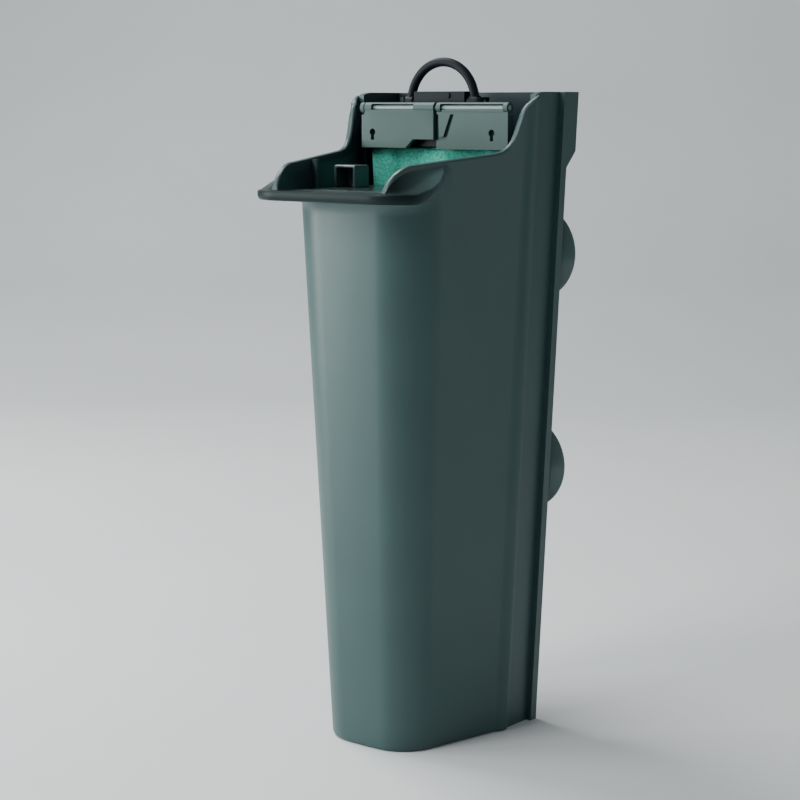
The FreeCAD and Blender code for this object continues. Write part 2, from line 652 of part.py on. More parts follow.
def pump_body():
    """Motor case, rotor well, volute and outlet spigot in one moulding, open at the motor's end."""
    half = MOTOR_HALF
    depths = (PUMP_DEPTH - half, PUMP_DEPTH + half)
    case = block(MOTOR, depths, MOTOR_Z)
    room_x = (MOTOR[0] + CASE_SKIN, MOTOR[1] + PAST)
    room_d = (depths[0] + CASE_SKIN, depths[1] - CASE_SKIN)
    room = block(room_x, room_d, (MOTOR_Z[0] + CASE_SKIN, MOTOR_Z[1] - CASE_SKIN))
    well = rod_x(WELL_R + WELL_SKIN, MOTOR[0], WELL_END + WELL_SKIN, PUMP_DEPTH, PUMP_Z)
    volute = rod_x(VOLUTE_R, VOLUTE[0], VOLUTE[1], PUMP_DEPTH, PUMP_Z)
    spigot = Part.makeCylinder(TUBE_R, SPIGOT_TOP - PUMP_Z, at(SPIGOT_X, SPIGOT_DEPTH, PUMP_Z))
    body = case.cut(room).fuse([well, volute, spigot])
    body = body.cut(rod_x(VOLUTE_BORE, VOLUTE[0] - PAST, VOLUTE[1] - WELL_SKIN, PUMP_DEPTH, PUMP_Z))
    body = body.cut(rod_x(WELL_R, VOLUTE[0], WELL_END, PUMP_DEPTH, PUMP_Z))
    bore = Part.makeCylinder(TUBE_BORE, SPIGOT_TOP, at(SPIGOT_X, SPIGOT_DEPTH, PUMP_Z + TUBE_BORE))
    return body.cut(bore).removeSplitter()


def stator_core():
    """A bridge of laminations whose two legs reach down past the rotor well."""
    inner = WELL_R + WELL_SKIN + LEG_GAP
    outer = MOTOR_HALF - CASE_SKIN - LEG_CLEAR
    legs = [block(STACK, (PUMP_DEPTH + inner, PUMP_DEPTH + outer), (LEG_LOW, YOKE_Z[1])),
            block(STACK, (PUMP_DEPTH - outer, PUMP_DEPTH - inner), (LEG_LOW, YOKE_Z[1]))]
    yoke = block(STACK, (PUMP_DEPTH - outer, PUMP_DEPTH + outer), YOKE_Z)
    return yoke.fuse(legs).removeSplitter()


def coil_room(half_depth, grow=(0.0, 0.0)):
    """The room around the core's bar, grown along X and Z."""
    grow_x, grow_z = grow
    depths = (PUMP_DEPTH - half_depth, PUMP_DEPTH + half_depth)
    low = YOKE_Z[0] - LEG_GAP - grow_z
    high = YOKE_Z[1] + LEG_GAP + grow_z
    return block((COIL_X[0] - grow_x, COIL_X[1] + grow_x), depths, (low, high))


def coil_bobbin():
    past_flanges = (BOBBIN_FLANGE[0] + PAST, BOBBIN_FLANGE[1] + PAST)
    flanges = coil_room(BOBBIN_HALF, BOBBIN_FLANGE).cut(coil_room(TUBE_HALF, past_flanges))
    tube = coil_room(TUBE_HALF, BOBBIN_TUBE)
    return flanges.fuse(tube).cut(coil_room(BOBBIN_HALF + PAST)).removeSplitter()


def coil_winding():
    return coil_room(WINDING_HALF, WINDING_OUT).cut(coil_room(WINDING_HALF + PAST, WINDING_IN))


def potting_cap():
    inset = CASE_SKIN + CASE_GAP
    depths = (PUMP_DEPTH - MOTOR_HALF + inset, PUMP_DEPTH + MOTOR_HALF - inset)
    xs = (MOTOR[1] - CAP_INSET[0], MOTOR[1] - CAP_INSET[1])
    return block(xs, depths, (MOTOR_Z[0] + inset, MOTOR_Z[1] - inset))


def impeller_cover():
    """The volute's lid, with six inlet holes, a groove for the seal and a seat for the bush."""
    face = VOLUTE[0]
    cover = rod_x(VOLUTE_R, face - COVER_THICK, face, PUMP_DEPTH, PUMP_Z)
    outer, inner, deep = SEAL_GROOVE
    cover = cover.cut(ring_x(outer, inner, face - deep, face + PAST))
    for index in range(INLET_COUNT):
        angle = index * 2 * math.pi / INLET_COUNT
        depth = PUMP_DEPTH + INLET_RING * math.cos(angle)
        z = PUMP_Z + INLET_RING * math.sin(angle)
        cover = cover.cut(rod_x(INLET_R, face - COVER_THICK - PAST, face + PAST, depth, z))
    return cover.cut(rod_x(BUSH_SEAT_R, face - BUSH_SEAT, face + PAST, PUMP_DEPTH, PUMP_Z))


def cover_seal():
    outer, inner, thick = SEAL
    return ring_x(outer, inner, VOLUTE[0] - thick, VOLUTE[0])


def impeller_shaft():
    return rod_x(SHAFT_R, VOLUTE[0] - BUSH_SEAT, WELL_END, PUMP_DEPTH, PUMP_Z)


def shaft_bush_outer():
    return ring_x(BUSH_R, SHAFT_R, VOLUTE[0] - BUSH_LONG, VOLUTE[0])


def shaft_bush_inner():
    return ring_x(INNER_BUSH_R, SHAFT_R, WELL_END - INNER_BUSH_LONG, WELL_END)


def rotor_magnet():
    return ring_x(MAGNET_R, SHAFT_R + RUNNING_GAP, HUB_BACK, MAGNET_END)


def impeller_wheel():
    hub = rod_x(HUB_R, VOLUTE[0] + VANE_HALF, HUB_BACK, PUMP_DEPTH, PUMP_Z)
    disc = rod_x(WHEEL_R, WHEEL_DISC[0], WHEEL_DISC[1], PUMP_DEPTH, PUMP_Z)
    vanes = []
    for index in range(VANE_COUNT):
        vane = block(VANE_X, (PUMP_DEPTH + VANE_START, PUMP_DEPTH + WHEEL_R - VANE_CLEAR),
                     (PUMP_Z - VANE_HALF, PUMP_Z + VANE_HALF))
        vane.rotate(at(0, PUMP_DEPTH, PUMP_Z), V(1, 0, 0), index * 360 / VANE_COUNT)
        vanes.append(vane)
    wheel = hub.fuse([disc] + vanes)
    return wheel.cut(rod_x(SHAFT_R + RUNNING_GAP, -CUT_HALF, CUT_HALF, PUMP_DEPTH, PUMP_Z)).removeSplitter()


def cable_gland():
    foot = at(GLAND_X, PUMP_DEPTH, MOTOR_Z[1])
    cone = Part.makeCone(GLAND_R[0], GLAND_R[1], GLAND_TALL, foot)
    return cone.cut(Part.makeCylinder(GLAND_BORE, GLAND_TALL, foot + V(0, 0, GLAND_FLOOR)))


def pump_feet():
    feet = []
    for x in FOOT_X:
        for depth in (PUMP_DEPTH - FOOT_SPREAD, PUMP_DEPTH + FOOT_SPREAD):
            feet.append(Part.makeCylinder(FOOT_R, MOTOR_Z[0] - FLOOR, at(x, depth, FLOOR)))
    return Part.makeCompound(feet)


def all_parts():
    parts = {
        "front_shell": front_shell(),
        "rear_shell": rear_shell(),
        "spout_deck": spout_deck(),
        "outlet_hood": outlet_hood(),
        "riser_tube": riser_tube(),
        "partition": partition(),
        "cartridge_frame": cartridge_frame(),
        "filter_foam": pad(FOAM, CART_LOW, CART_TOP),
        "carbon_pad": pad(CARBON, CART_LOW + CARBON_LIFT, CART_TOP, CARBON_SHRINK),
        "filter_fleece": pad(FLEECE, CART_LOW + FLEECE_LIFT, CART_TOP, FLEECE_SHRINK),
        "clip_plate": clip_plate(),
        "clip_rod": clip_rod(),
        "clip_flap": clip_flap(),
        "handle_base": handle_base(),
        "handle_pins": handle_pins(),
        "bail_handle": bail_handle(),
        "pump_body": pump_body(),
        "stator_core": stator_core(),
        "coil_bobbin": coil_bobbin(),
        "coil_winding": coil_winding(),
        "potting_cap": potting_cap(),
        "impeller_cover": impeller_cover(),
        "cover_seal": cover_seal(),
        "impeller_shaft": impeller_shaft(),
        "shaft_bush_outer": shaft_bush_outer(),
        "shaft_bush_inner": shaft_bush_inner(),
        "rotor_magnet": rotor_magnet(),
        "impeller_wheel": impeller_wheel(),
        "cable_gland": cable_gland(),
        "pump_feet": pump_feet(),
    }
    for number, (x, z) in enumerate(CUP_PLACES, 1):
        parts["suction_cup_%d" % number] = suction_cup(x, z)
    return parts


for node, shape in all_parts().items():
    box = shape.BoundBox
    print("%-18s solids %d valid %s volume %8.1f  x %.1f..%.1f y %.1f..%.1f z %.1f..%.1f" % (
        node, len(shape.Solids), shape.isValid(), shape.Volume,
        box.XMin, box.XMax, box.YMin, box.YMax, box.ZMin, box.ZMax))
    shape.exportStep("parts/%s.step" % node)
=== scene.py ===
import bpy
import bmesh
import math
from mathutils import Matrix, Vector, noise


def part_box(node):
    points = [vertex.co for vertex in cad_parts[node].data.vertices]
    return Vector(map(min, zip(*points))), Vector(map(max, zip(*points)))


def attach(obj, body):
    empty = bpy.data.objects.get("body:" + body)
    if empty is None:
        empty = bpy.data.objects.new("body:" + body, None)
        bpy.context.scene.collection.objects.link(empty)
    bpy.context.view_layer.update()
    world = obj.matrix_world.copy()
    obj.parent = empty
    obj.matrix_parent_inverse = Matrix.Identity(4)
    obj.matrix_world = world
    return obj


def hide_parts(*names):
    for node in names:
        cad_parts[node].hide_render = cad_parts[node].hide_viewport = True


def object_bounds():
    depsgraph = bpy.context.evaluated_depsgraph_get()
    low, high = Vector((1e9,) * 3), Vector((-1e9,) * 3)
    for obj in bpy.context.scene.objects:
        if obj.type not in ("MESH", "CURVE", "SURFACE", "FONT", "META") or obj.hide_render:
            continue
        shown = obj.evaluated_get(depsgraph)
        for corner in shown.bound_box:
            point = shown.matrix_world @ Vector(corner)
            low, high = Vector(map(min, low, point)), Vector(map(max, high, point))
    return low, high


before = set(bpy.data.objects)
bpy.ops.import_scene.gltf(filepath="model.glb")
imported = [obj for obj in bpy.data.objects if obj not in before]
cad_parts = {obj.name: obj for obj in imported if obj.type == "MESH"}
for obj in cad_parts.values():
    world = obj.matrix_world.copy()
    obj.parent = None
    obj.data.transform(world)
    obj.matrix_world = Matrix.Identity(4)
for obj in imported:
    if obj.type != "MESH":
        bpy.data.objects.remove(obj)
cad_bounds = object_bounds()

# Shapes are worked out in millimetres, as X, depth and Z. Depth is the distance forward of the
# housing's rear face. place() turns them into the frame's metres.
MM = 0.001
NECK_BACK = 3.0                       # how deep a suction cup's head reaches in from the rear face


def span(node):
    """The lowest and highest corners of a CAD node, in millimetres."""
    low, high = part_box(node)
    return low / MM, high / MM


BACK_Y = span("suction_cup_1")[0].y + NECK_BACK


def place(x, depth, z):
    return Vector((x, BACK_Y - depth, z)) * MM


# ---- housing, from the frame ----
HEIGHT = span("rear_shell")[1].z
SEAM = BACK_Y - span("front_shell")[1].y
DECK_Z = span("spout_deck")[1].z
BRIM_THICK = DECK_Z - span("spout_deck")[0].z
BRIM_FRONT = BACK_Y - span("front_shell")[0].y
SKIN = 2.0
FLOOR = 2.2
BEAD_PROUD = 0.9
BEAD_HALF_WIDTH = 2.2
BEAD_CENTRE = SEAM + 1.5
WALL_TOP = 35.6                       # half-widths at the seam, at the rim and at the base
WALL_BASE = 25.4
FRONT_TOP = 63.5
FRONT_BASE = 55.5
CORNER_TOP = 17.0
CORNER_BASE = 12.0
LEAN = math.radians(12.5)
BRIM_HALF = 31.5
BRIM_CORNER = 13.0
NOSE_DEPTH = 71.5
BRIM_FLAT = 14.0
BOW = 1.0                             # how far the middle of the front stands forward
RIB_DEPTH = 48.4                      # the small rib inside each cheek
TANGENT_DEPTH = 49.5                  # where the side wall ends and the front corner starts


# ---------------------------------------------------------------- small helpers
SHARP_ANGLE = 35                      # edges sharper than this, in degrees, stay sharp
BEVEL_SEGMENTS = 3
BEVEL_ANGLE = 30


def mix(a, b, t):
    return a + (b - a) * t


def clamp(t):
    return max(0.0, min(1.0, t))


def ease(low, high, value):
    t = clamp((value - low) / (high - low))
    return t * t * (3 - 2 * t)


def new_object(name, data):
    obj = bpy.data.objects.new(name, data)
    bpy.context.scene.collection.objects.link(obj)
    return obj


def from_bmesh(name, bm, angle=SHARP_ANGLE):
    bmesh.ops.recalc_face_normals(bm, faces=bm.faces)
    mesh = bpy.data.meshes.new(name)
    bm.to_mesh(mesh)
    bm.free()
    mesh.shade_smooth()
    mesh.set_sharp_from_angle(angle=math.radians(angle))
    return new_object(name, mesh)


def apply_modifiers(obj):
    graph = bpy.context.evaluated_depsgraph_get()
    mesh = bpy.data.meshes.new_from_object(obj.evaluated_get(graph))
    obj.modifiers.clear()
    obj.data = mesh


def rounded(node, name, width, body):
    """A finished copy of a CAD node, with its sharp edges rounded. Width is in millimetres."""
    bm = bmesh.new()
    bm.from_mesh(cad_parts[node].data)
    bmesh.ops.remove_doubles(bm, verts=bm.verts, dist=0.002 * MM)
    bmesh.ops.dissolve_limit(bm, angle_limit=math.radians(0.6), verts=bm.verts, edges=bm.edges)
    bmesh.ops.triangulate(bm, faces=bm.faces)
    obj = from_bmesh(name, bm)
    # the CAD mesh's own normals belong to its edges before they were rounded
    obj.data.attributes.remove(obj.data.attributes["custom_normal"])
    bevel = obj.modifiers.new("round", "BEVEL")
    bevel.width = width * MM
    bevel.segments = BEVEL_SEGMENTS
    bevel.limit_method = "ANGLE"
    bevel.angle_limit = math.radians(BEVEL_ANGLE)
    bevel.miter_outer = "MITER_ARC"
    bevel.harden_normals = True
    bpy.context.view_layer.update()
    apply_modifiers(obj)
    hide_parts(node)
    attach(obj, body)
    return obj


def lathe(bm, profile, centre, steps):
    """Turns (radius, depth) points about the Y axis through centre, a pair of X and Z."""
    rings = []
    for radius, depth in profile:
        if radius == 0.0:
            rings.append([bm.verts.new(place(centre[0], depth, centre[1]))])
            continue
        ring = []
        for step in range(steps):
            angle = 2 * math.pi * step / steps
            ring.append(bm.verts.new(place(centre[0] + radius * math.cos(angle), depth,
                                           centre[1] + radius * math.sin(angle))))
        rings.append(ring)
    for first, second in zip(rings, rings[1:]):
        for step in range(steps):
            after = (step + 1) % steps
            corners = [first[step % len(first)], first[after % len(first)],
                       second[after % len(second)], second[step % len(second)]]
            bm.faces.new(list(dict.fromkeys(corners)))


# ---------------------------------------------------------------- materials
class Nodes:
    """A short way to write a material's node tree."""

    def __init__(self, name):
        self.material = bpy.data.materials.new(name)
        self.material.use_nodes = True
        self.tree = self.material.node_tree
        self.shader = self.tree.nodes["Principled BSDF"]
        self.coords = self.add("ShaderNodeTexCoord").outputs["Object"]

    def add(self, kind):
        return self.tree.nodes.new(kind)

    def link(self, source, target):
        self.tree.links.new(source, target)

    def noise(self, scale, detail=4.0, rough=0.5, stretch=(1, 1, 1)):
        mapping = self.add("ShaderNodeMapping")
        mapping.inputs["Scale"].default_value = stretch
        self.link(self.coords, mapping.inputs["Vector"])
        texture = self.add("ShaderNodeTexNoise")
        texture.inputs["Scale"].default_value = scale
        texture.inputs["Detail"].default_value = detail
        texture.inputs["Roughness"].default_value = rough
        self.link(mapping.outputs["Vector"], texture.inputs["Vector"])
        return texture.outputs["Fac"]

    def cells(self, scale):
        texture = self.add("ShaderNodeTexVoronoi")
        texture.inputs["Scale"].default_value = scale
        self.link(self.coords, texture.inputs["Vector"])
        return texture.outputs["Distance"]

    def ramp(self, source, stops):
        ramp = self.add("ShaderNodeValToRGB")
        elements = ramp.color_ramp.elements
        while len(elements) < len(stops):
            elements.new(0.5)
        for element, (position, colour) in zip(elements, stops):
            element.position = position
            element.color = (*colour, 1.0)
        self.link(source, ramp.inputs["Fac"])
        return ramp.outputs["Color"]

    def scale(self, source, low, high):
        node = self.add("ShaderNodeMapRange")
        node.inputs["To Min"].default_value = low
        node.inputs["To Max"].default_value = high
        self.link(source, node.inputs["Value"])
        return node.outputs["Result"]

    def ahead(self, start, end):
        """0 up to one depth and 1 beyond another, growing evenly between them."""
        axes = self.add("ShaderNodeSeparateXYZ")
        self.link(self.coords, axes.inputs["Vector"])
        node = self.add("ShaderNodeMapRange")
        node.inputs["From Min"].default_value = place(0, start, 0).y
        node.inputs["From Max"].default_value = place(0, end, 0).y
        self.link(axes.outputs["Y"], node.inputs["Value"])
        return node.outputs["Result"]

    def bump(self, source, distance, strength=1.0, under=None):
        node = self.add("ShaderNodeBump")
        node.inputs["Distance"].default_value = distance * MM
        node.inputs["Strength"].default_value = strength
        self.link(source, node.inputs["Height"])
        if under:
            self.link(under, node.inputs["Normal"])
        return node.outputs["Normal"]

    def set(self, name, value):
        self.shader.inputs[name].default_value = value

    def drive(self, name, source):
        self.link(source, self.shader.inputs[name])


def shade(colour, factor):
    return tuple(channel * factor for channel in colour)


COLOUR_DRIFT = 0.05                   # how much lighter and darker a plastic gets in patches
PLASTIC_IOR = 1.5
GRAIN_SCALE = 2600
MARKS_SCALE = 70


def plastic(name, colour, rough, grain=0.012, shine=0.5):
    """Moulded plastic: slight colour drift, a fine spark-eroded grain and faint handling marks."""
    m = Nodes(name)
    cloud = m.noise(45, 3)
    darker, lighter = shade(colour, 1 - COLOUR_DRIFT), shade(colour, 1 + COLOUR_DRIFT)
    m.drive("Base Color", m.ramp(cloud, [(0.3, darker), (0.7, lighter)]))
    marks = m.noise(MARKS_SCALE, 3, 0.55)
    m.drive("Roughness", m.scale(marks, rough * 0.92, rough * 1.1))
    fine = m.bump(m.noise(GRAIN_SCALE, 2, 0.6), grain)
    m.drive("Normal", m.bump(m.noise(30, 1), 0.02, 0.5, fine))
    m.set("IOR", PLASTIC_IOR)
    m.set("Specular IOR Level", shine)
    return m.material


LIP_SHADE_FADE = (57, 69)                   # the depths between which the lip's plastic turns dark: painted shade
LIP_SHADE_DARKNESS = 0.22


def lip_shade_material(colour, shine, grain):
    """The shell's plastic with painted shade: darker and duller towards the front edge of the lip."""
    m = Nodes("lip_plastic_painted_shade")
    front = m.ahead(*LIP_SHADE_FADE)
    m.drive("Base Color", m.ramp(front, [(0.0, colour), (1.0, shade(colour, LIP_SHADE_DARKNESS))]))
    m.drive("Roughness", m.scale(m.noise(MARKS_SCALE, 3, 0.55), 0.37, 0.44))
    m.drive("Specular IOR Level", m.scale(front, shine, 0.12))
    m.drive("Normal", m.bump(m.noise(GRAIN_SCALE, 2, 0.6), grain))
    m.set("IOR", PLASTIC_IOR)
    return m.material


def foam_material():
    """Open-cell reticulated foam: dark pores between lighter struts."""
    m = Nodes("filter_foam_green")
    pores = m.cells(1300)
    small = m.cells(2300)
    greens = [(0.0, (0.018, 0.33, 0.225)), (0.35, (0.040, 0.49, 0.36)), (0.75, (0.085, 0.60, 0.47))]
    m.drive("Base Color", m.ramp(pores, greens))
    rough = m.bump(small, 0.25, 0.6)
    m.drive("Normal", m.bump(pores, 0.3, 0.6, rough))
    m.set("Roughness", 0.85)
    m.set("Subsurface Weight", 0.15)
    m.set("Subsurface Radius", (0.002, 0.003, 0.002))
    m.set("Sheen Weight", 0.2)
    return m.material


def fleece_material():
    """White needled fleece, its fibres lying mostly upright."""
    m = Nodes("fleece_white")
    fibres = m.noise(1500, 6, 0.7, (1, 1, 0.35))
    m.drive("Base Color", m.ramp(fibres, [(0.25, (0.55, 0.57, 0.54)), (0.7, (0.86, 0.87, 0.84))]))
    m.drive("Normal", m.bump(fibres, 0.35, 0.8))
    m.set("Roughness", 0.95)
    m.set("Sheen Weight", 0.4)
    return m.material


def carbon_material():
    """Fine black carbon grains."""
    m = Nodes("carbon_black")
    grains = m.cells(1100)
    m.drive("Base Color", m.ramp(grains, [(0.1, (0.035, 0.035, 0.037)), (0.7, (0.006, 0.006, 0.007))]))
    m.drive("Normal", m.bump(grains, 0.4, 0.9))
    m.drive("Roughness", m.scale(grains, 0.45, 0.95))
    return m.material


def vinyl_material():
    """Soft translucent vinyl of the suction cups."""
    m = Nodes("cup_vinyl")
    cloud = m.noise(160, 3)
    m.drive("Base Color", m.ramp(cloud, [(0.3, (0.090, 0.150, 0.145)), (0.7, (0.100, 0.165, 0.160))]))
    m.drive("Roughness", m.scale(m.noise(700, 3), 0.16, 0.30))
    m.drive("Normal", m.bump(m.noise(420, 2), 0.02))
    m.set("Transmission Weight", 0.25)
    m.set("IOR", 1.45)
    return m.material


def metal(name, colour, rough, stretch=(1, 1, 1), scale=1500, metallic=1.0):
    """Metal with a grain that can be drawn out into laminations or turns of wire."""
    m = Nodes(name)
    grain = m.noise(scale, 3, 0.5, stretch)
    m.drive("Base Color", m.ramp(grain, [(0.3, shade(colour, 0.8)), (0.7, shade(colour, 1.15))]))
    m.drive("Roughness", m.scale(grain, rough * 0.75, rough * 1.3))
    m.drive("Normal", m.bump(grain, 0.02))
    m.set("Metallic", metallic)
    return m.material


SHELL_COLOUR = (0.036, 0.077, 0.076)
SHELL_SHINE = 0.42
SHELL_GRAIN = 0.006
SHELL = plastic("shell_plastic", SHELL_COLOUR, 0.40, SHELL_GRAIN, SHELL_SHINE)
# the lip's plastic: the shell's colour with painted shade towards the front edge
LIP_SHADE = lip_shade_material(SHELL_COLOUR, SHELL_SHINE, SHELL_GRAIN)
# a darker, bluer copy of the shell's plastic: painted shade for the faces inside the housing
INSIDE_SHADE = plastic("shell_inside_painted_shade", (0.020, 0.038, 0.046), 0.34, 0.003, shine=0.3)
DECK = plastic("deck_plastic", (0.014, 0.026, 0.027), 0.24, 0.004)
HOOD = plastic("hood_plastic", (0.050, 0.085, 0.085), 0.30)
CLIP = plastic("clip_plastic", (0.050, 0.094, 0.088), 0.50, 0.010, shine=0.3)
ROD = plastic("rod_plastic", (0.30, 0.38, 0.37), 0.32)
HANDLE = plastic("handle_plastic", (0.005, 0.008, 0.012), 0.50, shine=0.14)
FRAME_BLACK = plastic("frame_plastic", (0.006, 0.009, 0.010), 0.50, shine=0.2)
PUMP = plastic("pump_plastic", (0.018, 0.023, 0.024), 0.38)
BOBBIN = plastic("bobbin_plastic", (0.62, 0.60, 0.54), 0.45)
WHEEL = plastic("wheel_plastic", (0.32, 0.36, 0.38), 0.35)
RESIN = plastic("potting_resin", (0.012, 0.012, 0.014), 0.14, 0.004)
SEAL = plastic("seal_rubber", (0.014, 0.014, 0.014), 0.62, 0.03)
FOAM = foam_material()
FLEECE = fleece_material()
CARBON = carbon_material()
CUP = vinyl_material()
CORE = metal("core_laminations", (0.42, 0.42, 0.43), 0.38, (12, 0.4, 0.4), 500)
WINDING = metal("winding_wire", (0.72, 0.28, 0.12), 0.30, (0.3, 14, 0.3), 400)
MAGNET = metal("ferrite", (0.06, 0.06, 0.065), 0.45, metallic=0.6)
SHAFT = plastic("shaft_ceramic", (0.78, 0.77, 0.72), 0.12, 0.002)

NODE_MATERIALS = {
    "riser_tube": PUMP, "partition": DECK, "pump_body": PUMP, "stator_core": CORE, "coil_bobbin": BOBBIN,
    "coil_winding": WINDING, "potting_cap": RESIN, "impeller_cover": PUMP, "cover_seal": SEAL,
    "impeller_shaft": SHAFT, "shaft_bush_outer": SEAL, "shaft_bush_inner": SEAL, "cable_gland": SEAL,
    "pump_feet": SEAL, "rotor_magnet": MAGNET, "impeller_wheel": WHEEL, "cartridge_frame": FRAME_BLACK,
    "handle_pins": ROD, "clip_rod": ROD,
}


def paint(obj, *materials):
    obj.data.materials.clear()
    for material in materials:
        obj.data.materials.append(material)


# ---------------------------------------------------------------- front housing
def grown(base, top, z):
    return mix(base, top, z / HEIGHT)


def bead(depth):
    """How far the rounded ridge beside the seam stands out at this depth."""
    offset = (depth - BEAD_CENTRE) / BEAD_HALF_WIDTH
    if abs(offset) >= 1:
        return 0.0
    return BEAD_PROUD * (1 - offset * offset) ** 0.6


def circle_through(a, b, c):
    """Centre and radius of the circle through three (depth, z) points."""
    doubled = 2 * ((b.x - a.x) * (c.y - a.y) - (b.y - a.y) * (c.x - a.x))
    ab = b.length_squared - a.length_squared
    ac = c.length_squared - a.length_squared
    x = ((c.y - a.y) * ab - (b.y - a.y) * ac) / doubled
    y = ((b.x - a.x) * ac - (c.x - a.x) * ab) / doubled
    centre = Vector((x, y))
    return centre, (a - centre).length


RIM_BENDS = [((11.2, 200.0), (17.6, 197.85), (21.2, 193.0)),
             ((23.2, 187.5), (25.95, 183.75), (30.3, 182.0)),
             ((60.0, 179.2), (67.2, 177.0), (NOSE_DEPTH, DECK_Z))]


def rim_height(depth):
    """The side rim: level at the back, an S down to the cheek, then the cheek's round nose."""
    last = Vector((0.0, HEIGHT))
    for bend in RIM_BENDS:
        start, middle, end = [Vector(point) for point in bend]
        if depth <= start.x:
            return mix(last.y, start.y, (depth - last.x) / (start.x - last.x))
        if depth < end.x:
            centre, radius = circle_through(start, middle, end)
            rise = math.sqrt(radius ** 2 - (depth - centre.x) ** 2)
            return centre.y + math.copysign(rise, middle.y - centre.y)
        last = end
    return DECK_Z


def bow(x, half):
    """The front is very slightly full: it stands forward by this much."""
    return BOW * max(0.0, 1 - (x / half) ** 2) ** 2


class Column:
    """One upright strip of the front housing, from the seam round to the middle of the front.

    Side strips are placed by their depth, corner strips by how far round the corner they are (turn, 0 to 1)
    and front strips by how near the middle they are (flat, 0 to 1).
    """

    def __init__(self, side_depth=None, turn=None, flat=None):
        self.side_depth = side_depth
        self.turn = turn
        self.flat = flat
        angle = math.pi / 2
        if side_depth is not None:
            angle = LEAN
        elif turn is not None:
            angle = mix(LEAN, math.pi / 2, turn)
        self.angle = angle
        self.inward = Vector((-math.cos(angle), -math.sin(angle)))

    def wall(self, z, inset=0.0):
        """Outline of the wall at height z, as (x, depth)."""
        front = grown(FRONT_BASE, FRONT_TOP, z) - inset
        radius = grown(CORNER_BASE, CORNER_TOP, z) - inset
        half = grown(WALL_BASE, WALL_TOP, z) - inset / math.cos(LEAN)
        centre_depth = front - radius
        centre_x = half - (radius + (centre_depth - SEAM) * math.sin(LEAN)) / math.cos(LEAN)
        if self.turn is not None:
            x = centre_x + radius * math.cos(self.angle)
            return Vector((x, centre_depth + radius * math.sin(self.angle) + bow(x, centre_x + radius)))
        if self.flat is not None:
            x = centre_x * (1 - self.flat)
            return Vector((x, front + bow(x, centre_x + radius)))
        share = (self.side_depth - SEAM) / (TANGENT_DEPTH - SEAM)
        depth = mix(SEAM, centre_depth + radius * math.sin(LEAN), share)
        x = half - (depth - SEAM) * math.tan(LEAN)
        if inset == 0.0:
            x += bead(depth)
        return Vector((x, depth))

    def lip(self):
        """Outline of the lip, as (x, depth)."""
        if self.side_depth is not None:
            return self.wall(DECK_Z)
        if self.turn is None:
            return Vector((BRIM_FLAT * (1 - self.flat), BRIM_FRONT))
        start = TANGENT.wall(DECK_Z)
        if self.turn < LIP_SIDE_TURN:
            t = self.turn / LIP_SIDE_TURN
            return Vector((mix(start.x, BRIM_HALF, math.sin(t * math.pi / 2)),
                           mix(start.y, BRIM_FRONT - BRIM_CORNER, t)))
        if self.turn < LIP_CORNER_TURN:
            angle = (self.turn - LIP_SIDE_TURN) / (LIP_CORNER_TURN - LIP_SIDE_TURN) * math.pi / 2
            return Vector((BRIM_HALF - BRIM_CORNER + BRIM_CORNER * math.cos(angle),
                           BRIM_FRONT - BRIM_CORNER + BRIM_CORNER * math.sin(angle)))
        t = (self.turn - LIP_CORNER_TURN) / (1 - LIP_CORNER_TURN)
        return Vector((mix(BRIM_HALF - BRIM_CORNER, BRIM_FLAT, t), BRIM_FRONT))

    def cheek(self):
        """Outer foot of the cheek, as (x, depth), and the rim's height there."""
        if self.side_depth is not None:
            return self.wall(DECK_Z), rim_height(self.side_depth)
        if self.turn is not None and self.turn <= NOSE_TURN:
            depth = mix(TANGENT_DEPTH, NOSE_DEPTH, math.sin(self.turn / NOSE_TURN * math.pi / 2))
            return cheek_foot(depth), rim_height(depth)
        middle = self.lip().lerp(self.wall(DECK_Z, SKIN), FRONT_FOLD)
        if self.turn is None:
            return middle, DECK_Z
        return cheek_foot(NOSE_DEPTH).lerp(middle, self.past_nose()), DECK_Z

    def past_nose(self):
        """0 up to the cheek's front end, growing to 1 by the front."""
        if self.turn is None:
            return 0.0 if self.flat is None else 1.0
        return clamp((self.turn - NOSE_TURN) / (1 - NOSE_TURN))

    def progress(self):
        """0 where the corner starts, growing towards the front; below 0 on the side wall."""
        if self.side_depth is not None:
            return (self.side_depth - TANGENT_DEPTH) / LIP_RUN
        return 1.0 if self.turn is None else self.turn


TANGENT = Column(side_depth=TANGENT_DEPTH)
LIP_SIDE_TURN = 0.30                  # the turns where the lip's side ends and its corner ends,
LIP_CORNER_TURN = 0.85
NOSE_TURN = 0.52                      # and where the cheek's front end is
LIP_RUN = 26.0                        # this much side wall counts as one whole turn
LIP_START = -0.24                     # on that measure, where the lip starts to leave the side wall
LIP_CLEAR = -0.02                     # and where it has left it
FRONT_FOLD = 0.45                     # how far in from the lip its folded top edge lies, at the front
LIP_LIFT = 8.0                        # the lip's sides sweep up by this much, into the cheeks
LIP_LIFT_TURN = 0.45
CHEEK_SOFT = 2.5                      # a cheek this tall has a fully round rim
RIM_DROP = 0.9                        # the round rim's height
CHEEK_INWARD = Vector((-math.cos(LEAN), -math.sin(LEAN)))
FOOT_SECTION = [(1.1, 0), (0.32, 0.35)]         # the soft outer edge of the floor: inset and height
OUTER_HEIGHTS = [1.3, 8, 24, 45, 66, 87, 108, 128, 145, 156]
INNER_HEIGHTS = [164, 150, 125, 95, 65, 35, 12, 3.4]
LIP_FOOT = 160.0                      # the wall starts to flow out into the lip here
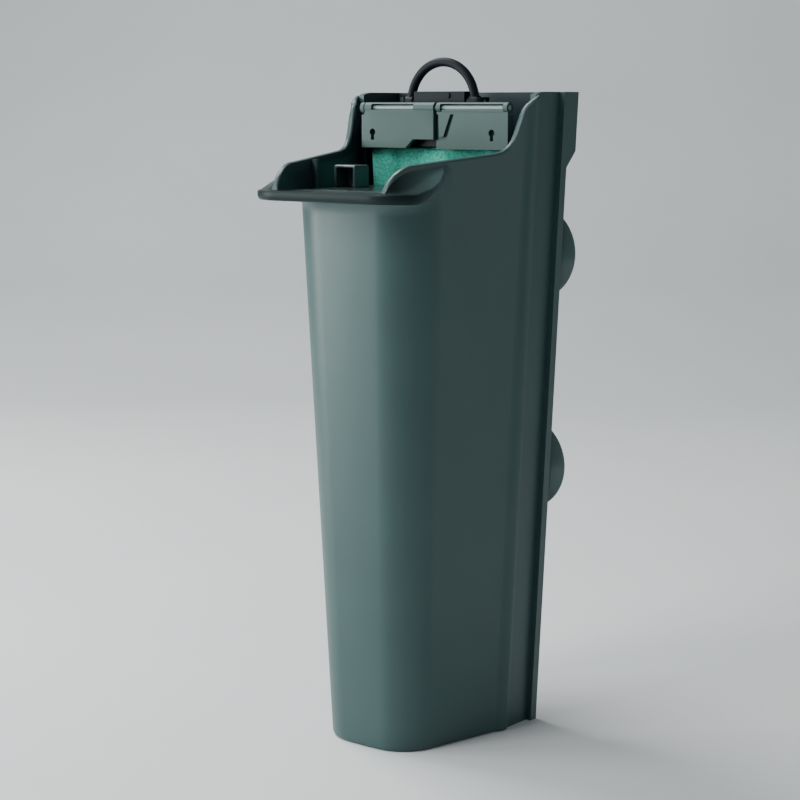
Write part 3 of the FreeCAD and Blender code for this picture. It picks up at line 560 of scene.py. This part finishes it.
# The lip's section: how far out from the wall, and how far above the lip's underside.
LIP_SECTION = [(0.0, -8.0), (0.0, -4.0), (0.0, -1.3), (0.05, -0.4), (0.18, -0.05), (0.86, 0.0), (0.94, 0.12),
               (0.975, 0.45), (0.99, 0.9), (1.0, 1.5), (1.0, 2.45), (0.985, 2.85)]
LIP_EDGE_ROW = 5                      # where the lip's plastic with painted shade starts, along the section
# From the lip to the top of the cheek: how far in, and how far up.
LIP_TOP = [(0.12, 0.0), (0.42, 0.06), (0.70, 0.20), (0.88, 0.48), (1.0, 0.8)]
# Over the rim: how far in, in half thicknesses, and how far below the top.
RIM_SECTION = [(0.0, 0.9), (0.28, 0.28), (1.0, 0.0), (1.72, 0.28), (2.0, 0.9)]
RIM_INSIDE_ROWS = 2                   # the last rows of the rim face inwards
# Down the cheek's inside to the deck: how far down, how far up and how far across to the wall.
DECK_EDGE = [(0.3, 0.7, 0.0), (0.6, 0.35, 0.0), (0.85, 0.09, 0.02),
             (0.93, 0.0, 0.12), (0.97, 0.0, 0.5), (1.0, 0.0, 0.93)]


def cheek_foot(depth):
    """Where the cheek stands at this depth: straight on from the side wall, as (x, depth)."""
    start = TANGENT.wall(DECK_Z)
    return Vector((start.x - (depth - TANGENT_DEPTH) * math.tan(LEAN), depth))


def column_points(column):
    """The column's profile: up the outside, over the lip and cheek, and down the inside."""
    rows = []

    def add(plan, z):
        rows.append((plan.x, plan.y, z))

    side = column.side_depth is not None
    for inset, z in FOOT_SECTION:
        add(column.wall(0) + column.inward * inset, z)
    for z in OUTER_HEIGHTS:
        add(column.wall(z), z)

    foot, rim = column.cheek()
    lip = column.lip()
    soft = clamp((rim - DECK_Z) / CHEEK_SOFT)
    low = DECK_Z - BRIM_THICK
    along = column.progress()
    plain = 1 - ease(LIP_START, LIP_CLEAR, along)
    lift = LIP_LIFT * clamp(1 - max(0.0, along) / LIP_LIFT_TURN) ** 1.4
    cheek_low = rim - RIM_DROP * soft
    ceiling = max(min(DECK_Z + lift, cheek_low - 0.3), DECK_Z + min(lift, 0.2))

    def cheek_at(z):
        """The cheek leans outwards with height, as the wall below it does."""
        return Vector((foot.x + (WALL_TOP - WALL_BASE) * (z - DECK_Z) / HEIGHT * soft, foot.y))

    section = []
    for share, rise in LIP_SECTION:
        z = low + rise + lift * ease(LIP_SECTION[0][1], 0.0, rise)
        # rows that would pass the ceiling lie just under it, still in order
        section.append((column.wall(min(z, low)).lerp(lip, share), min(z, ceiling - 0.05 * (3 - rise))))
    for share, rise in LIP_TOP:
        z = mix(ceiling, cheek_low, rise)
        section.append((lip.lerp(cheek_at(z), share), z))
    for index, (plan, z) in enumerate(section):
        if side:
            z = mix(z, mix(LIP_FOOT, cheek_low, index / (len(section) - 1)), plain)
            plan = column.wall(z)
        add(plan, z)

    thick = SKIN / math.cos(LEAN)
    inward = CHEEK_INWARD.lerp(column.inward, column.past_nose())
    for inset, drop in RIM_SECTION:
        base = column.wall(rim) if side else cheek_at(rim)
        add(base + inward * inset * thick / 2, rim - drop * soft)

    edge = column.wall(DECK_Z, SKIN)
    for share, rise, across in DECK_EDGE:
        if side:
            z = mix(rim - RIM_DROP, DECK_Z - 0.2, share)
            add(column.wall(z, SKIN), z)
        else:
            z = DECK_Z + rise * (rim - DECK_Z)
            add((cheek_at(z) + inward * thick).lerp(edge, across), z)
    for z in [DECK_Z - 0.5] + INNER_HEIGHTS:
        add(column.wall(z, SKIN), z)
    add(column.wall(FLOOR, SKIN) + column.inward * 1.2, FLOOR)
    return rows


# Where the side wall's strips stand: close together on the bead and along the rim's bends.
SIDE_DEPTHS = [SEAM + step for step in (0.0, 0.15, 0.5, 1.0)]
SIDE_DEPTHS += [BEAD_CENTRE + step for step in (0.4, 1.0, 1.6, 2.0, 2.3)]
SIDE_DEPTHS += [17.4, 18.2, 19, 20, 21, 22, 23, 24, 25, 26.2, 28, 31, 35, 39, 42, 44.5, 46.5, 48.2]
CORNER_STEPS = 30
FRONT_STEPS = 5
SHELL_INDEX, INSIDE_SHADE_INDEX, LIP_SHADE_INDEX = range(3)


def front_housing():
    """The front shell: upright strips from the seam to the middle of the front, then their mirror."""
    half = [Column(side_depth=depth) for depth in SIDE_DEPTHS]
    half += [Column(turn=step / CORNER_STEPS) for step in range(CORNER_STEPS + 1)]
    half += [Column(flat=step / FRONT_STEPS) for step in range(1, FRONT_STEPS + 1)]
    strips = [column_points(column) for column in half]
    below_rim = len(DECK_EDGE) + 1 + len(INNER_HEIGHTS) + 1
    inside_row = len(strips[0]) - below_rim - RIM_INSIDE_ROWS
    lip_row = len(FOOT_SECTION) + len(OUTER_HEIGHTS) + LIP_EDGE_ROW
    cheek_row = lip_row + len(LIP_SECTION) - LIP_EDGE_ROW + len(LIP_TOP) - 1
    wall_row = inside_row + len(DECK_EDGE) + 1
    first_low = next(index for index, column in enumerate(half) if column.cheek()[1] <= DECK_Z)
    mirrored = [[(-x, depth, z) for x, depth, z in strip] for strip in strips[-2::-1]]
    strips = strips + mirrored
    bm = bmesh.new()
    grid = [[bm.verts.new(place(*point)) for point in strip] for strip in strips]
    for index, (first, second) in enumerate(zip(grid, grid[1:])):
        on_lip = len(SIDE_DEPTHS) < index < len(grid) - 1 - len(SIDE_DEPTHS)
        in_front = first_low <= index < len(grid) - 1 - first_low
        lip_end = wall_row if in_front else cheek_row
        for row in range(len(first) - 1):
            face = bm.faces.new([first[row], second[row], second[row + 1], first[row + 1]])
            if on_lip and lip_row <= row < lip_end:
                # the lip's band takes the plastic with painted shade
                face.material_index = LIP_SHADE_INDEX
            elif row >= inside_row:
                # the faces inside take the plastic with painted shade
                face.material_index = INSIDE_SHADE_INDEX
    for row in (0, -1):
        for index in range(len(half) - 1):
            other = len(grid) - 1 - index
            corners = [grid[index][row], grid[index + 1][row], grid[other - 1][row], grid[other][row]]
            bm.faces.new(list(dict.fromkeys(corners)))
    bm.faces.new(grid[0] + grid[-1][::-1])
    for side in (-1, 1):
        rib(bm, side)
    bmesh.ops.remove_doubles(bm, verts=bm.verts, dist=0.0005 * MM)
    obj = from_bmesh("housing_front", bm, 42)
    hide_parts("front_shell")
    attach(obj, "housing")
    # clearing the materials resets every face to the first one, so the indices are set again
    plastics = [face.material_index for face in obj.data.polygons]
    paint(obj, SHELL, INSIDE_SHADE, LIP_SHADE)
    obj.data.polygons.foreach_set("material_index", plastics)


# The rib's outline from above: x from the cheek's inner face, and depth.
RIB_OUTLINE = [(0.6, 0.0), (-1.6, 0.0), (-1.8, 0.2), (-1.8, 1.0), (-1.6, 1.2), (0.6, 1.2)]


def rib(bm, side):
    """The small upright rib inside each cheek."""
    inner = Column(side_depth=RIB_DEPTH).wall(DECK_Z).x - SKIN / math.cos(LEAN)
    top = rim_height(RIB_DEPTH)
    rings = []
    for z in (DECK_Z - 0.2, top - 1.0, top - 0.7):
        corners = [place(side * (inner + x), RIB_DEPTH + depth, z) for x, depth in RIB_OUTLINE]
        rings.append([bm.verts.new(corner) for corner in corners])
    bm.faces.new(rings[0])
    bm.faces.new(rings[-1])
    for first, second in zip(rings, rings[1:]):
        for index in range(len(RIB_OUTLINE)):
            after = (index + 1) % len(RIB_OUTLINE)
            bm.faces.new([first[index], first[after], second[after], second[index]])


# ---------------------------------------------------------------- filter layers
PAD_TAPER = 5.8                       # each side of a filter layer comes in this much by the bottom
PAD_CORNER = 17.0
PAD_ACROSS = 44                       # steps across a layer's face, and up it
PAD_ROWS = 84
PAD_TURNS = 5                         # steps round each of its edges
PAD_SOFT = 2.2
LOBE_EDGE = (11.5, 8)                 # the foam's fuller sides start and end this far from its edge
RIPPLE_SCALE = 0.35


def pad_half(z, low, high, top_half):
    """Half-width of a filter layer at height z: a slight taper, then two round lower corners."""
    above = z - low
    straight = mix(top_half - PAD_TAPER, top_half, clamp((above - PAD_CORNER) / (high - low - PAD_CORNER)))
    if above >= PAD_CORNER:
        return straight
    return straight - PAD_CORNER + math.sqrt(max(0.0, PAD_CORNER ** 2 - (PAD_CORNER - above) ** 2))


def pad_section(half, thick, soft):
    """One level ring of a layer, as (x, offset from the middle depth), with rounded corners."""
    points = []
    for face in (1, -1):
        for step in range(PAD_ACROSS):
            points.append((face * mix(-(half - soft), half - soft, step / PAD_ACROSS), face * thick))
        for turn in range(2 * PAD_TURNS):
            angle = math.pi / 2 * (1 - turn / PAD_TURNS)
            middle = (thick - soft) * (1 if turn < PAD_TURNS else -1)
            x = half - soft + soft * math.cos(angle)
            points.append((face * x, face * (middle + soft * math.sin(angle))))
    return points


def layer(name, node, ripple, lobe=0.0):
    """A cut pad of filter medium with soft edges, an uneven surface and, for the foam, fuller sides."""
    low, high = span(node)
    middle = BACK_Y - (low.y + high.y) / 2
    thick = (high.y - low.y) / 2 - ripple * 0.5
    soft = min(thick * 0.8, PAD_SOFT)
    ends = [math.radians(15 * step) for step in range(6)]
    inner_low, inner_high = low.z + soft, high.z - soft
    levels = [(low.z + soft * (1 - math.cos(angle)), soft * (1 - math.sin(angle))) for angle in ends]
    levels += [(mix(inner_low, inner_high, row / PAD_ROWS), 0.0) for row in range(PAD_ROWS + 1)]
    levels += [(high.z - soft * (1 - math.cos(angle)), soft * (1 - math.sin(angle))) for angle in ends[::-1]]
    bm = bmesh.new()
    rings = []
    for z, inset in levels:
        half = max(3.0, pad_half(z, low.z, high.z, high.x) - ripple * 0.5 - inset)
        ring = []
        for x, offset in pad_section(half, thick - inset, max(soft - inset, 0.15)):
            if offset > 0:
                flat = 1 - ease(half - LOBE_EDGE[0], half - LOBE_EDGE[1], abs(x))
                offset -= lobe * flat * offset / thick
            spot = Vector((x, z, offset)) * RIPPLE_SCALE
            uneven = (noise.noise(spot) + 0.5 * noise.noise(spot * 3.7)) * ripple * 0.5
            ring.append(bm.verts.new(place(x, middle + offset + math.copysign(uneven, offset), z)))
        rings.append(ring)
    for first, second in zip(rings, rings[1:]):
        for step in range(len(first)):
            after = (step + 1) % len(first)
            bm.faces.new([first[step], first[after], second[after], second[step]])
    bm.faces.new(rings[0])
    bm.faces.new(rings[-1])
    obj = from_bmesh(name, bm, 60)
    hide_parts(node)
    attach(obj, "cartridge")
    return obj


def filter_layers():
    foam = layer("foam_block", "filter_foam", 0.35, lobe=1.6)
    paint(foam, FOAM)
    carbon = layer("carbon_layer", "carbon_pad", 0.2)
    paint(carbon, CARBON)
    fleece = layer("fleece_layer", "filter_fleece", 0.12)
    paint(fleece, FLEECE)


# ---------------------------------------------------------------- suction cups
# A cup's section, as (radius, depth): the head inside the wall, the neck, and the two faces of the disc.
CUP_HEAD = [(0.0, NECK_BACK), (2.6, 3.0), (3.15, 2.9), (3.4, 2.65), (3.35, 2.3), (3.0, 2.1), (2.5, 2.05)]
CUP_NECK = [(2.4, 1.9), (2.4, -0.1), (4.2, -0.1), (4.55, -0.35), (4.6, -0.9), (4.6, -1.9)]
CUP_BACK = [(4.85, -2.35), (5.6, -2.6), (7.2, -2.95), (9.0, -3.45), (10.9, -4.2), (12.4, -5.1), (13.7, -6.2)]
CUP_LIP = [(14.55, -7.1), (14.97, -7.55), (14.95, -7.8), (14.75, -7.97), (14.2, -8.0), (13.6, -7.7)]
CUP_HOLLOW = [(12.6, -6.9), (11.2, -6.1), (9.2, -5.35), (6.7, -4.7), (4.0, -4.35), (0.0, -4.2)]
CUP_PROFILE = CUP_HEAD + CUP_NECK + CUP_BACK + CUP_LIP + CUP_HOLLOW
CUP_STEPS = 64


def suction_cups():
    for number in range(1, 5):
        node = "suction_cup_%d" % number
        low, high = span(node)
        centre = ((low.x + high.x) / 2, (low.z + high.z) / 2)
        bm = bmesh.new()
        lathe(bm, CUP_PROFILE, centre, CUP_STEPS)
        obj = from_bmesh("cup_%d" % number, bm, 50)
        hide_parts(node)
        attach(obj, "housing")
        paint(obj, CUP)


# ---------------------------------------------------------------- pieces that keep the CAD shape
def rounded_pieces():
    # node, name, width of the rounding, body, slot and material
    table = [
        ("rear_shell", "housing_back", 0.5, "housing", "shell", SHELL),
        ("spout_deck", "deck_plate", 0.35, "housing", "deck", DECK),
        ("outlet_hood", "hood", 0.35, "housing", "hood", HOOD),
        ("clip_plate", "clip_back_leaf", 0.22, "cartridge", "clip", CLIP),
        ("clip_flap", "clip_front_leaf", 0.22, "flap", "clip", CLIP),
        ("handle_base", "handle_seat", 0.45, "cartridge", "handle", HANDLE),
        ("bail_handle", "bail", 0.2, "handle", "handle", HANDLE),
    ]
    for node, name, width, body, slot, material in table:
        obj = rounded(node, name, width, body)
        paint(obj, material)
        if node == "rear_shell":
            paint_inside_shade(obj)


def paint_inside_shade(shell):
    """Gives the plastic with painted shade to the faces that look towards the middle of the housing."""
    shell.data.materials.append(INSIDE_SHADE)
    middle = place(0, SEAM / 2, 0)
    for face in shell.data.polygons:
        inward = Vector((middle.x - face.center.x, middle.y - face.center.y, 0)).normalized()
        face.material_index = INSIDE_SHADE_INDEX if face.normal.dot(inward) > 0.3 else SHELL_INDEX


def paint_frame():
    for node, material in NODE_MATERIALS.items():
        paint(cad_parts[node], material)


# ---------------------------------------------------------------- studio
CAMERA_AZIMUTH = math.radians(38.5)
FLOOR_HALF = 3.0
# The paper's curve behind the object, as (y, z) in metres.
FLOOR_SWEEP = [(-FLOOR_HALF, 0.0), (0.7, 0.0), (0.95, 0.05), (1.1, 0.2), (1.18, 0.5), (1.2, 2.2)]
SKY_COLOUR = (0.80, 0.87, 0.90, 1)
SKY_STRENGTH = 0.26
MIDDLE = (0, 0, 0.11)
TOP = (0, 0, 0.18)


def area_light(name, location, target, size, power, colour=(1, 1, 1)):
    data = bpy.data.lights.new(name, "AREA")
    data.shape = "RECTANGLE"
    data.size, data.size_y = size
    data.energy = power
    data.color = colour
    aim(new_object(name, data), Vector(location), Vector(target))


def aim(obj, location, target):
    obj.location = location
    obj.rotation_euler = (target - location).to_track_quat("-Z", "Y").to_euler()


def studio():
    bm = bmesh.new()
    rows = [[bm.verts.new((x, y, z)) for x in (-FLOOR_HALF, FLOOR_HALF)] for y, z in FLOOR_SWEEP]
    for first, second in zip(rows, rows[1:]):
        bm.faces.new([first[0], first[1], second[1], second[0]])
    floor = from_bmesh("studio_floor", bm, 80)
    floor.location.z = cad_bounds[0][2]
    floor.rotation_euler.z = CAMERA_AZIMUTH
    m = Nodes("floor_paper")
    m.drive("Base Color", m.ramp(m.noise(6, 3), [(0.3, (0.74, 0.76, 0.77)), (0.7, (0.78, 0.80, 0.81))]))
    m.set("Roughness", 0.8)
    paint(floor, m.material)

    world = bpy.data.worlds.new("studio")
    world.use_nodes = True
    sky = world.node_tree.nodes["Background"]
    sky.inputs["Color"].default_value = SKY_COLOUR
    sky.inputs["Strength"].default_value = SKY_STRENGTH
    bpy.context.scene.world = world
    area_light("key", (-0.70, -0.52, 0.13), MIDDLE, (0.42, 0.76), 12.5, (0.90, 1.0, 0.97))
    area_light("front", (-0.20, -0.60, 0.66), TOP, (0.3, 0.3), 3.6)
    area_light("top", (-0.52, 0.02, 0.85), TOP, (0.4, 0.4), 8)
    area_light("right", (0.95, 0.45, 0.25), MIDDLE, (0.10, 0.8), 0.8)


CAMERA_LENS = 88
CAMERA_DISTANCE = 0.60
CAMERA_Z = 0.196
CAMERA_TARGET = Vector((0.0, -0.004, 0.106))


def camera():
    data = bpy.data.cameras.new("camera")
    data.lens = CAMERA_LENS
    x = math.sin(CAMERA_AZIMUTH) * CAMERA_DISTANCE
    y = -math.cos(CAMERA_AZIMUTH) * CAMERA_DISTANCE
    obj = new_object("camera", data)
    aim(obj, Vector((x, y, CAMERA_Z)), CAMERA_TARGET)
    bpy.context.scene.camera = obj


camera()
front_housing()
rounded_pieces()
filter_layers()
suction_cups()
paint_frame()
studio()

bpy.context.view_layer.update()
